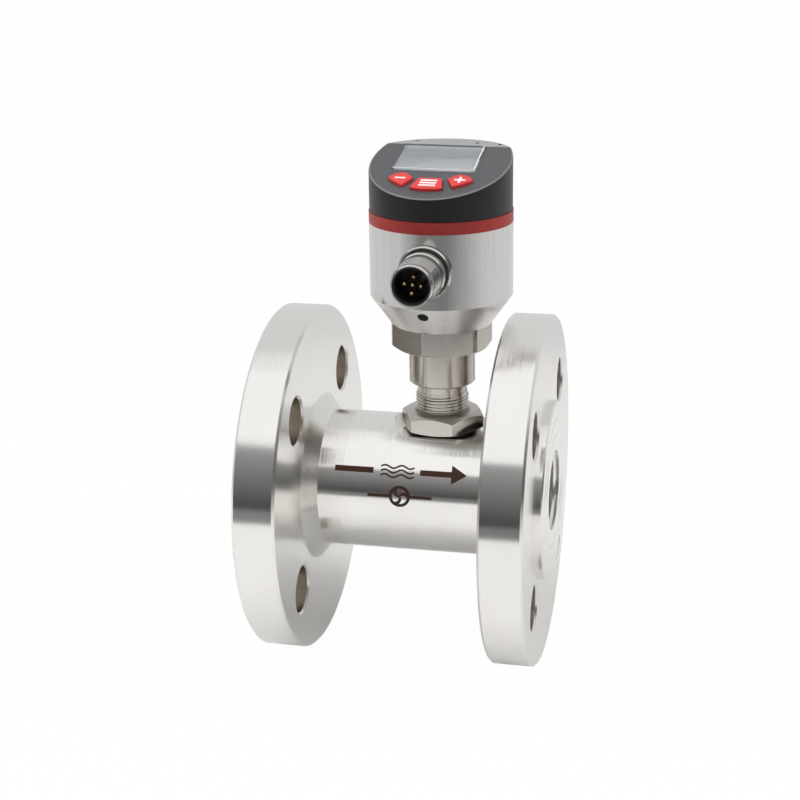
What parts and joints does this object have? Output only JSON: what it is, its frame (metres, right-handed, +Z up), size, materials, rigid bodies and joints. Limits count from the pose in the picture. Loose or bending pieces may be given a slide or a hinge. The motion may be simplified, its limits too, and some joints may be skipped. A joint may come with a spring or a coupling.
{
  "type": "flanged turbine flow meter",
  "caption": "In-line turbine flow meter: thick pipe section between two round bolting flanges, pick-up stem, steel housing with round plug inlet and turning display cap with push keys.",
  "frame": {"origin": "centre of the inlet flange's raised face, on the pipe's axis", "axes": "+X along the pipe in the direction of flow, +Z up along the sensor stem, the display faces -Y"},
  "size_m": [0.086, 0.105, 0.154],
  "materials": {
    "turned_steel": "turned and polished stainless steel",
    "machined_steel": "machined stainless steel",
    "brushed_can": "drawn can, brushed",
    "spring_steel": "spring steel",
    "hard_metal": "ground hard metal",
    "connector_metal": "nickel-plated",
    "black_rubber": "matt",
    "grey_rubber": "matt",
    "black_insert": "moulded",
    "gold_pins": "gold-plated",
    "red_band": "satin moulded",
    "dark_plastic": "fine satin texture",
    "clear_window": "clear",
    "lcd_panel": "unlit display, grey",
    "circuit_board": "solder mask",
    "red_key": "satin moulded",
    "coil_plastic": "moulded",
    "copper_wire": "enamelled copper",
    "soft_iron": "turned soft iron"
  },
  "bodies": {
    "meter": {"body_tube": "turned_steel", "can_ring_nut": "machined_steel", "coil_bobbin": "coil_plastic", "colour_band": "red_band", "connector_boss": "connector_metal", "connector_gasket": "black_rubber", "connector_insert": "black_insert", "connector_pins": "gold_pins", "connector_shell": "connector_metal", "housing_can": "brushed_can", "inlet_bush": "hard_metal", "inlet_flange": "turned_steel", "inlet_retaining_ring": "spring_steel", "inlet_straightener": "machined_steel", "inlet_thrust_ball": "hard_metal", "lock_nut": "machined_steel", "main_board": "circuit_board", "outlet_bush": "hard_metal", "outlet_flange": "turned_steel", "outlet_retaining_ring": "spring_steel", "outlet_straightener": "machined_steel", "outlet_thrust_ball": "hard_metal", "pickup_coil": "copper_wire", "pole_piece": "soft_iron", "stem": "machined_steel", "stem_seal": "black_rubber", "vent_plug": "black_rubber"},
    "rotor": {"rotor": "machined_steel", "rotor_shaft": "hard_metal"},
    "display": {"display_cap": "dark_plastic", "display_window": "clear_window", "display_panel": "lcd_panel", "display_board": "circuit_board", "keypad_mat": "grey_rubber", "board_screws": "spring_steel"},
    "minus_key": {"key_minus": "red_key"},
    "menu_key": {"key_menu": "red_key"},
    "plus_key": {"key_plus": "red_key"}
  },
  "joints": [
    {"name": "rotor_spin", "type": "hinge", "parent": "meter", "child": "rotor", "pos_m": [0.0522, 0, 0], "axis": [1, 0, 0], "continuous": true},
    {"name": "display_swivel", "type": "hinge", "parent": "meter", "child": "display", "pos_m": [0.0522, 0, 0.0847], "axis": [0, 0, 1], "range_deg": [-165, 165]},
    {"name": "minus_press", "type": "slide", "parent": "display", "child": "minus_key", "axis": [0.0229, 0.3281, -0.9444], "range_m": [0, 0.0005], "stiffness_N_per_m": 400},
    {"name": "menu_press", "type": "slide", "parent": "display", "child": "menu_key", "axis": [0.0229, 0.3281, -0.9444], "range_m": [0, 0.0005], "stiffness_N_per_m": 400},
    {"name": "plus_press", "type": "slide", "parent": "display", "child": "plus_key", "axis": [0.0229, 0.3281, -0.9444], "range_m": [0, 0.0005], "stiffness_N_per_m": 400}
  ]
}
